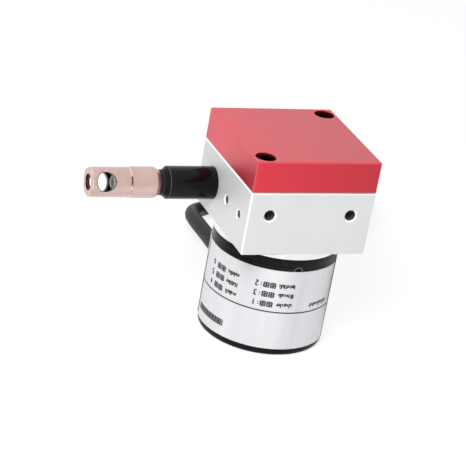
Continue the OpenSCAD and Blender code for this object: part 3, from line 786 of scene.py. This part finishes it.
def make_strain_relief():
    """The tapered strain relief: rows of half-round slots, each row a quarter turn from the last."""
    low, high = corners("cable_gland")
    axis = Vector((0, low.y, (low.z + high.z) / 2))
    length = (high.y - low.y) / MM
    collar_r = (high.x - low.x) / 2 / MM
    neck_r, shoulder_r, tip_r = collar_r - 1.0, collar_r - 0.35, collar_r - 1.05
    collar = [(0, neck_r), (2.2, neck_r), (2.2, collar_r - 0.25), (2.45, collar_r),
              (3.6, collar_r), (3.95, shoulder_r)]
    taper = []
    for i in range(TAPER_STEPS + 1):
        t = i / TAPER_STEPS
        x = TAPER_START + (length - TAPER_START - TIP_ROUND) * t
        taper.append((x, shoulder_r + (tip_r - shoulder_r) * t))
    tip = [(length - 0.08, tip_r - 0.08), (length, tip_r - TIP_ROUND)]

    def slots(x, angle):
        """Depth of the slots: steep across each, and fading towards its two ends round the relief."""
        if not RIB_START <= x <= length - RIB_END:
            return 0
        row, place = divmod((x - RIB_START) / RIB_PITCH, 1)
        across = math.sin(math.tau * place) if place < 0.5 else 0.0
        around = abs(math.cos(angle + row * math.pi / 2))
        return RIB_DEPTH * min(1.0, 2.2 * across) * min(1.0, max(0.0, 6 * (around - 0.3)))

    place = along((0, 1, 0), axis)
    relief = turned("strain_relief", collar + taper + tip, place, cut=slots)
    dress(relief, "rubber")
    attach(relief, "housing")
    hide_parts("cable_gland")


def make_thread(name, mouth, inward, bore_r, pitch, depth, first, ridge):
    """The turns of a tapped thread on the wall of a hole, from just inside its countersink."""
    rows = round(THREAD_ROWS * (depth - first) / pitch)

    def turns(x, angle):
        place = (x / pitch - angle / math.tau) % 1
        fade = min(1.0, (x - first) / (0.6 * pitch))
        return ridge * (1 - abs(2 * place - 1)) * fade

    wall = [(first + (depth - first) * i / rows, bore_r - 0.01) for i in range(rows + 1)]
    return turned(name, wall, along(inward, mouth), THREAD_SIDES, turns, capped=False)


def make_threads():
    """Threads in the block's tapped holes, at the places that the record's mounts state."""
    # Painted shade: the threads take a darker grey than the block
    look = thread_metal()
    for mount in frame["record"]["mounts"]:
        if mount["name"] not in THREADS:
            continue
        pitch, depth, first = THREADS[mount["name"]]
        hole_r, spacing = mount["dims"]["hole_r_mm"], mount["dims"]["spacing_x_mm"]
        out = Vector(mount["axis"])
        sideways = out.cross(Vector((0, 0, 1)))
        for side in (-1, 1):
            mouth = Vector(mount["pos_m"]) + sideways * side * spacing / 2 * MM
            name = mount["name"].replace("holes", "thread_") + ("a" if side < 0 else "b")
            ridge = THREAD_RIDGE * pitch
            thread = make_thread(name, mouth, -out, hole_r, pitch, depth, first, ridge)
            dress(thread, "block_metal", look)
            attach(thread, "housing")


# ---------- bright edges, painted edge highlights and painted shade ---

CLIP_SHOULDER = 9.2      # from the clip's inner end to its shoulder
CLIP_STEP = 0.2          # how much less its radius is beyond the shoulder
NOZZLE_BEVEL = 1.2       # length of the bevel at the nozzle's mouth
RIM_STEPS = 72           # points round a rim of the clip's eye


def make_clip_edges():
    """The clip's bright shoulder, end rim and eye rims, and the thread in its end, dark with painted
    shade.
    """
    low, high = corners("wire_clip")
    line = middle("wire_clip")
    polish, shade = clip_polish(), clip_shade()
    thick_r = (high.z - low.z) / 2 / MM
    thin_r = thick_r - CLIP_STEP
    shoulder = [(-0.5, thin_r - 0.1), (-0.5, thin_r + 0.02), (-0.05, thick_r + 0.02),
                (0.03, thick_r - 0.1)]
    start = Vector((high.x - CLIP_SHOULDER * MM, line.y, line.z))
    ring = turned("clip_shoulder", shoulder, along((1, 0, 0), start))
    mouth = Vector((low.x, line.y, line.z))
    rim = [(0.03, thin_r - 0.32), (0.0, thin_r - 0.26), (0.23, thin_r + 0.02),
           (0.3, thin_r - 0.02)]
    end_rim = turned("clip_end_rim", rim, along((1, 0, 0), mouth), capped=False)
    dress(end_rim, "clip_metal", polish)
    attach(end_rim, "clip")
    thread = make_thread("clip_thread", mouth, (1, 0, 0), bore_r=2.5, pitch=0.55, depth=1.2,
                         first=0.35, ridge=0.55)
    dress(ring, "clip_metal", polish)
    # Painted shade: the thread in the clip's end takes the dark brown
    dress(thread, "clip_metal", shade)
    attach(ring, "clip")
    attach(thread, "clip")
    make_eye_rims(thin_r, polish, shade)


def make_eye_rims(clip_r, polish, shade):
    """A rim round each mouth of the clip's eye: bright, with painted shade on its side towards -X."""
    axis, centre, eye_r = eye_place()
    eye_r /= MM
    along_clip = Vector((1, 0, 0))
    across = axis.cross(along_clip)
    section = (
        (eye_r - 0.01, -0.16), (eye_r + 0.05, 0.0), (eye_r + 0.2, 0.02), (eye_r + 0.24, -0.04),
    )
    verts, faces = [], []
    for side in (-1, 1):
        first = len(verts)
        for radius, lift in section:
            for k in range(RIM_STEPS):
                turn = math.tau * k / RIM_STEPS
                offset = radius * math.sin(turn)
                reach = math.sqrt(clip_r ** 2 - offset ** 2) + lift
                verts.append(centre + MM * (
                    radius * math.cos(turn) * along_clip + offset * across + side * reach * axis
                ))
        for i in range(len(section) - 1):
            row = first + i * RIM_STEPS
            for k in range(RIM_STEPS):
                a, b = row + k, row + (k + 1) % RIM_STEPS
                faces.append((a, b, b + RIM_STEPS, a + RIM_STEPS))
    rims = new_mesh("clip_eye_rims", verts, faces)
    dress(rims, "clip_metal", polish)
    rims.data.materials.append(shade)
    # Painted shade: faces on the -X side take the dark brown
    shaded_x = centre.x - 0.25 * eye_r * MM
    for face in rims.data.polygons:
        face.material_index = int(face.center.x < shaded_x)
    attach(rims, "clip")


def make_edge_highlights():
    """Painted highlights: a light ring where the nozzle's bevel begins, and light rims on the can's
    set screws.
    """
    highlight = worn_edge()
    low, high = corners("wire_nozzle")
    line = middle("wire_nozzle")
    nozzle_r = (high.z - low.z) / 2 / MM
    edge = [(-0.14, nozzle_r - 0.13), (-0.09, nozzle_r - 0.06), (0.0, nozzle_r + 0.015),
            (0.08, nozzle_r - 0.02)]
    start = Vector((low.x + NOZZLE_BEVEL * MM, line.y, line.z))
    ring = turned("nozzle_edge", edge, along((1, 0, 0), start), capped=False)
    dress(ring, "nozzle_black", highlight)
    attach(ring, "housing")
    low, high = corners("can_screws")
    screw_r = (high.z - low.z) / 2 / MM
    rim = [(0.0, screw_r - 0.36), (0.03, screw_r - 0.3), (0.03, screw_r - 0.1),
           (0.0, screw_r - 0.04)]
    for i, letter in enumerate("abc"):
        out = Matrix.Rotation(math.radians(120 * i), 3, "Z") @ Vector((0, -1, 0))
        start = out * -low.y + Vector((0, 0, (low.z + high.z) / 2))
        ring = turned("screw_rim_" + letter, rim, along(out, start), 48, capped=False)
        dress(ring, "steel", highlight)
        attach(ring, "housing")


# ---------- the draw wire and its turns on the drum ----------

WIRE_D = 0.5 * MM
DRUM_STEPS, GUIDED_STEPS, FREE_STEPS = 12, 14, 60    # of the wire's stretches
WINDING_STEPS = 48       # points in one turn on the drum


def make_draw_wire():
    """The wire: from the drum, through the eyelets and past the bumper ring, into the sleeve in the
    clip.
    """
    low, high = corners("draw_wire")
    line = middle("wire_ferrule")
    bend_x = corners("guide_eyelets")[1].x - 1.0 * MM    # just inside the inner eyelet
    out_x = corners("bumper_ring")[1].x - 0.3 * MM       # just inside the bumper ring
    in_x = corners("wire_ferrule")[1].x + 0.2 * MM       # just before the sleeve
    radius = WIRE_D / 2
    drum_end, bend = Vector((high.x, line.y, high.z - radius)), Vector((bend_x, line.y, line.z))
    path = [drum_end.lerp(bend, i / DRUM_STEPS) for i in range(DRUM_STEPS)]
    stretches = [
        (bend_x, out_x, GUIDED_STEPS), (out_x, in_x, FREE_STEPS), (in_x, low.x, GUIDED_STEPS),
    ]
    for start, end, count in stretches:
        for i in range(count):
            path.append(Vector((start + (end - start) * i / count, line.y, line.z)))
    path.append(Vector((low.x, line.y, line.z)))
    verts, faces = [], []
    tube_mesh(verts, faces, path, radius, 14)
    wire = new_mesh("wire_rope", verts, faces)
    crease(wire)
    wire.data.materials.append(wire_rope())
    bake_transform(wire)
    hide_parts("draw_wire")


def make_winding():
    """The wire's turns on the drum, one round helix."""
    low, high = corners("wound_wire")
    centre = middle("wound_wire")
    turns = round((high.z - low.z) / WIRE_D) - 1
    radius = (high.x - low.x) / 2 - WIRE_D / 2
    steps = turns * WINDING_STEPS
    path = []
    for i in range(steps + 1):
        angle = math.tau * i / WINDING_STEPS
        path.append(Vector((
            centre.x + radius * math.cos(angle), centre.y + radius * math.sin(angle),
            low.z + WIRE_D / 2 + (high.z - low.z - WIRE_D) * i / steps,
        )))
    verts, faces = [], []
    tube_mesh(verts, faces, path, WIRE_D / 2, 10)
    winding = new_mesh("winding", verts, faces)
    crease(winding)
    dress(winding, "steel")
    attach(winding, "drum")
    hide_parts("wound_wire")


# ---------- print on the label ----------

# Lengths and heights in millimetres, azimuths in degrees
PRINT_LIFT = 0.02        # the ink stands this far out of the label's face
PATCH_STEP = 0.6         # longest piece of a stroke round the label
DIGIT_STROKE = 0.38
DIGIT_HEIGHT = 1.6
WORD_HEIGHT = 1.35
SIGN_SIZE = 1.5
NUMBERED_ROWS = ((23.5, "2", "6"), (20.4, "3", "5"), (17.2, "1", "4"))   # height, two numbers
# Digits as strokes between points of a grid 2 wide and 4 high
DIGITS = {
    "1": [((0.4, 3.2), (1.1, 4)), ((1.1, 4), (1.1, 0))],
    "2": [((0, 3.4), (0.5, 4)), ((0.5, 4), (1.6, 4)), ((1.6, 4), (2, 3)), ((2, 3), (0, 0)),
          ((0, 0), (2, 0))],
    "3": [((0, 4), (2, 4)), ((2, 4), (1, 2.4)), ((1, 2.4), (2, 1.6)), ((2, 1.6), (1.6, 0.1)),
          ((1.6, 0.1), (0, 0.2))],
    "4": [((1.5, 0), (1.5, 4)), ((1.5, 4), (0, 1.2)), ((0, 1.2), (2, 1.2))],
    "5": [((2, 4), (0.2, 4)), ((0.2, 4), (0.1, 2.3)), ((0.1, 2.3), (1.6, 2.4)),
          ((1.6, 2.4), (2, 1.2)), ((2, 1.2), (1.5, 0.1)), ((1.5, 0.1), (0, 0.2))],
    "6": [((1.7, 4), (0.3, 2.3)), ((0.3, 2.3), (0, 1)), ((0, 1), (0.5, 0)), ((0.5, 0), (1.6, 0)),
          ((1.6, 0), (2, 1)), ((2, 1), (1.5, 2.1)), ((1.5, 2.1), (0.3, 1.7))],
}


class Print:
    """Thin inked marks on the label: each lies on the cylinder, turned the way the print stands."""

    def __init__(self):
        low, high = corners("label")
        self.radius = (high.x - low.x) / 2 + PRINT_LIFT * MM
        self.verts, self.faces = [], []

    def point(self, around, z):
        """around is millimetres along the label's face from azimuth 0, and z is the height."""
        angle = around * MM / self.radius
        return (self.radius * math.cos(angle), self.radius * math.sin(angle), z * MM)

    def patch(self, start, end, width):
        """A straight stroke from start to end, both (around, z), in pieces that follow the curve."""
        (u0, z0), (u1, z1) = start, end
        length = math.hypot(u1 - u0, z1 - z0)
        side_u, side_z = -(z1 - z0) / length * width / 2, (u1 - u0) / length * width / 2
        count = max(1, math.ceil(abs(u1 - u0) / PATCH_STEP))
        first = len(self.verts)
        for i in range(count + 1):
            t = i / count
            u, z = u0 + (u1 - u0) * t, z0 + (z1 - z0) * t
            self.verts.append(self.point(u + side_u, z + side_z))
            self.verts.append(self.point(u - side_u, z - side_z))
        for i in range(count):
            a = first + 2 * i
            self.faces.append((a, a + 1, a + 3, a + 2))

    def at(self, azimuth):
        """Millimetres along the face for an azimuth in degrees."""
        return math.radians(azimuth) * self.radius / MM

    def digit(self, sign, around, z):
        """A digit that stands on its head, its middle at around, z."""
        unit = DIGIT_HEIGHT / 4
        for a, b in DIGITS[sign]:
            self.patch(
                (around - (a[0] - 1) * unit, z - (a[1] - 2) * unit),
                (around - (b[0] - 1) * unit, z - (b[1] - 2) * unit), DIGIT_STROKE,
            )

    def dashes(self, start, end, z, height, seed):
        """A line of small marks that stands for wording: uprights of uneven width."""
        dice = random.Random(seed)
        u = start
        step = -1 if end < start else 1
        while (end - u) * step > 0.3:
            width = dice.uniform(0.34, 0.48)
            reach = height * dice.choice((0.6, 0.6, 0.7, 1.0))
            self.patch((u, z + height / 2 - reach), (u, z + height / 2), width)
            if dice.random() < 0.6:
                level = z + height / 2 - reach * dice.choice((0.1, 0.5, 0.9))
                self.patch((u, level), (u + step * 0.5, level), 0.36)
            u += step * dice.uniform(0.42, 0.62)

    def block_sign(self, around, z, size):
        """A boxy mark: a square frame with bars through it."""
        half = size / 2
        for level in (-half, -half / 3, half / 3, half):
            self.patch((around - half, z + level), (around + half, z + level), 0.34)
        for side in (-half, 0, half):
            self.patch((around + side, z - half), (around + side, z + half), 0.36)


def make_label_print():
    """Print that spells nothing: numbered rows, lines, a bold row of marks and a border."""
    marks = Print()
    at = marks.at
    for i, (z, right, left) in enumerate(NUMBERED_ROWS):
        marks.dashes(at(-91), at(-105.5), z, WORD_HEIGHT, 10 + i)
        for azimuth in (-110.5, -116.5):
            marks.block_sign(at(azimuth), z, SIGN_SIZE)
        for offset in (-0.35, 0.35):
            marks.patch((at(-121) - 0.15, z + offset), (at(-121) + 0.15, z + offset), 0.32)
        marks.digit(right, at(-125), z)
        marks.dashes(at(-142.5), at(-155), z, WORD_HEIGHT, 20 + i)
        for azimuth in (-160, -166):
            marks.block_sign(at(azimuth), z, SIGN_SIZE)
        marks.digit(left, at(-174), z)
    marks.dashes(at(-50), at(-72), 16.9, 1.3, 30)
    marks.patch((at(-42), 14.8), (at(-370), 14.8), 0.42)
    for i in range(9):
        marks.block_sign(at(-153 - 4.1 * i), 6.6, 1.7)
    marks.patch((at(-195), 2.9), (at(-195), 28.1), 1.2)
    label_print = new_mesh("label_print", marks.verts, marks.faces)
    label_print.data.materials.append(ink())
    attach(label_print, "housing")


make_strain_relief()
make_threads()
make_clip_edges()
# painted edge highlights on the nozzle and the can's set screws
make_edge_highlights()
make_draw_wire()
make_winding()
make_label_print()


# ---------- floor, room and lamp ----------

FLOOR_SIZE = 8.0         # metres from the floor's middle to its edge
FLOOR_LIT, FLOOR_PALE = 0.8, 0.3     # its grey where it lights the object, and where it is seen
FLOOR_GLOW = 0.78
# Patches of floor that look dim in reflections: centre, inner and outer radius in mm, and loss
DIM_PATCHES = [
    ((-95, -20), 25, 70, 0.5), ((40, 20), 14, 34, 0.5), ((-230, -400), 150, 330, 0.7),
    ((110, -135), 20, 80, 0.3), ((58, 45), 16, 46, 0.6),
]
WORLD_LIGHT = 0.55
DIM_SCALE = (2.0, 0.8, 0.6)          # directions are scaled by this where the dim side is measured
DIM_SIDE = (-0.8, -0.66, 0.25)       # middle of the room's dim side on that scale
DIM_INNER, DIM_OUTER = 0.35, 0.62    # it is dimmest within the one, and ends at the other
DIM_FRONT = 0.85         # how much light the dim side of the room lacks


def dimming(tree, place, centre, inner, outer, loss):
    """loss within inner of centre, fading to 0 at outer."""
    distance = tree.nodes.new("ShaderNodeVectorMath")
    distance.operation = "DISTANCE"
    tree.links.new(place, distance.inputs[0])
    distance.inputs[1].default_value = centre
    near = tree.nodes.new("ShaderNodeMapRange")
    near.interpolation_type = "SMOOTHSTEP"
    near.inputs["From Min"].default_value = inner
    near.inputs["From Max"].default_value = outer
    near.inputs["To Min"].default_value = loss
    near.inputs["To Max"].default_value = 0.0
    tree.links.new(distance.outputs["Value"], near.inputs["Value"])
    return near.outputs["Result"]


def less(tree, light, dim, glossy):
    """light, less dim for reflected rays; light is a number or a socket."""
    mirrored = math_node(tree, "MULTIPLY", dim, glossy)
    return math_node(tree, "SUBTRACT", light, mirrored, clamp=True)


def shown_rays(tree):
    """1 for rays from the camera, or by way of a reflection or a clear piece."""
    path = tree.nodes.new("ShaderNodeLightPath").outputs
    seen = math_node(tree, "MAXIMUM", path["Is Camera Ray"], path["Is Glossy Ray"])
    return math_node(tree, "MAXIMUM", seen, path["Is Transmission Ray"])


def diffuse(tree, grey):
    """A matt shader of this grey."""
    made = tree.nodes.new("ShaderNodeBsdfDiffuse")
    made.inputs["Color"].default_value = (grey, grey, grey, 1)
    return made.outputs[0]


def dim_reflection(tree):
    """The floor's glow: even, but metal mirrors dim patches of floor beside the object."""
    place = tree.nodes.new("ShaderNodeTexCoord").outputs["Object"]
    glossy = tree.nodes.new("ShaderNodeLightPath").outputs["Is Glossy Ray"]
    glow = FLOOR_GLOW
    for centre, inner, outer, loss in DIM_PATCHES:
        dim = dimming(tree, place, Vector((*centre, 0)) * MM, inner * MM, outer * MM, loss)
        glow = less(tree, glow, dim, glossy)
    return glow


def add_floor():
    """A white floor that keeps the shadow but stays as white as the backdrop."""
    mesh = bpy.data.meshes.new("floor")
    edge = FLOOR_SIZE
    mesh.from_pydata(
        [(-edge, -edge, 0), (edge, -edge, 0), (edge, edge, 0), (-edge, edge, 0)],
        [], [(0, 1, 2, 3)],
    )
    floor = bpy.data.objects.new("floor", mesh)
    scene.collection.objects.link(floor)
    material = bpy.data.materials.new("floor")
    material.use_nodes = True
    tree = material.node_tree
    tree.nodes.clear()
    glow = tree.nodes.new("ShaderNodeEmission")
    tree.links.new(dim_reflection(tree), glow.inputs["Strength"])
    seen = tree.nodes.new("ShaderNodeAddShader")
    tree.links.new(diffuse(tree, FLOOR_PALE), seen.inputs[0])
    tree.links.new(glow.outputs[0], seen.inputs[1])
    mix = tree.nodes.new("ShaderNodeMixShader")
    tree.links.new(shown_rays(tree), mix.inputs[0])
    tree.links.new(diffuse(tree, FLOOR_LIT), mix.inputs[1])
    tree.links.new(seen.outputs[0], mix.inputs[2])
    out = tree.nodes.new("ShaderNodeOutputMaterial")
    tree.links.new(mix.outputs[0], out.inputs["Surface"])
    mesh.materials.append(material)


def add_world():
    """A white room; in reflections it has a dim side in front, as behind a photographer."""
    world = bpy.data.worlds.new("world")
    scene.world = world
    world.use_nodes = True
    tree = world.node_tree
    back = tree.nodes["Background"]
    back.inputs["Color"].default_value = (1, 1, 1, 1)
    strength = tree.nodes.new("ShaderNodeMapRange")
    strength.inputs["To Min"].default_value = WORLD_LIGHT
    strength.inputs["To Max"].default_value = 1.0
    tree.links.new(shown_rays(tree), strength.inputs["Value"])
    stretched = tree.nodes.new("ShaderNodeMapping")
    stretched.inputs["Scale"].default_value = DIM_SCALE
    direction = tree.nodes.new("ShaderNodeTexCoord").outputs["Generated"]
    tree.links.new(direction, stretched.inputs["Vector"])
    place = stretched.outputs["Vector"]
    dim = dimming(tree, place, DIM_SIDE, DIM_INNER, DIM_OUTER, DIM_FRONT)
    glossy = tree.nodes.new("ShaderNodeLightPath").outputs["Is Glossy Ray"]
    tree.links.new(less(tree, strength.outputs["Result"], dim, glossy), back.inputs["Strength"])


def add_lamp(name, place_mm, size_mm, power):
    """A soft lamp that looks at the block."""
    data = bpy.data.lights.new(name, "AREA")
    data.shape = "SQUARE"
    data.size = size_mm * MM
    data.energy = power
    lamp = bpy.data.objects.new(name, data)
    scene.collection.objects.link(lamp)
    aim = middle("block")
    place = Vector(place_mm) * MM
    lamp.location = place
    lamp.visible_glossy = False
    lamp.rotation_euler = (aim - place).to_track_quat("-Z", "Y").to_euler()


def shade_cad_nodes():
    """Round faces of the CAD nodes shade smoothly; their own normals keep true edges crisp."""
    for node in NODES.values():
        node.data.shade_smooth()


add_floor()
add_world()
add_lamp("key", place_mm=(-255, -255, 400), size_mm=240, power=2.15)
shade_cad_nodes()
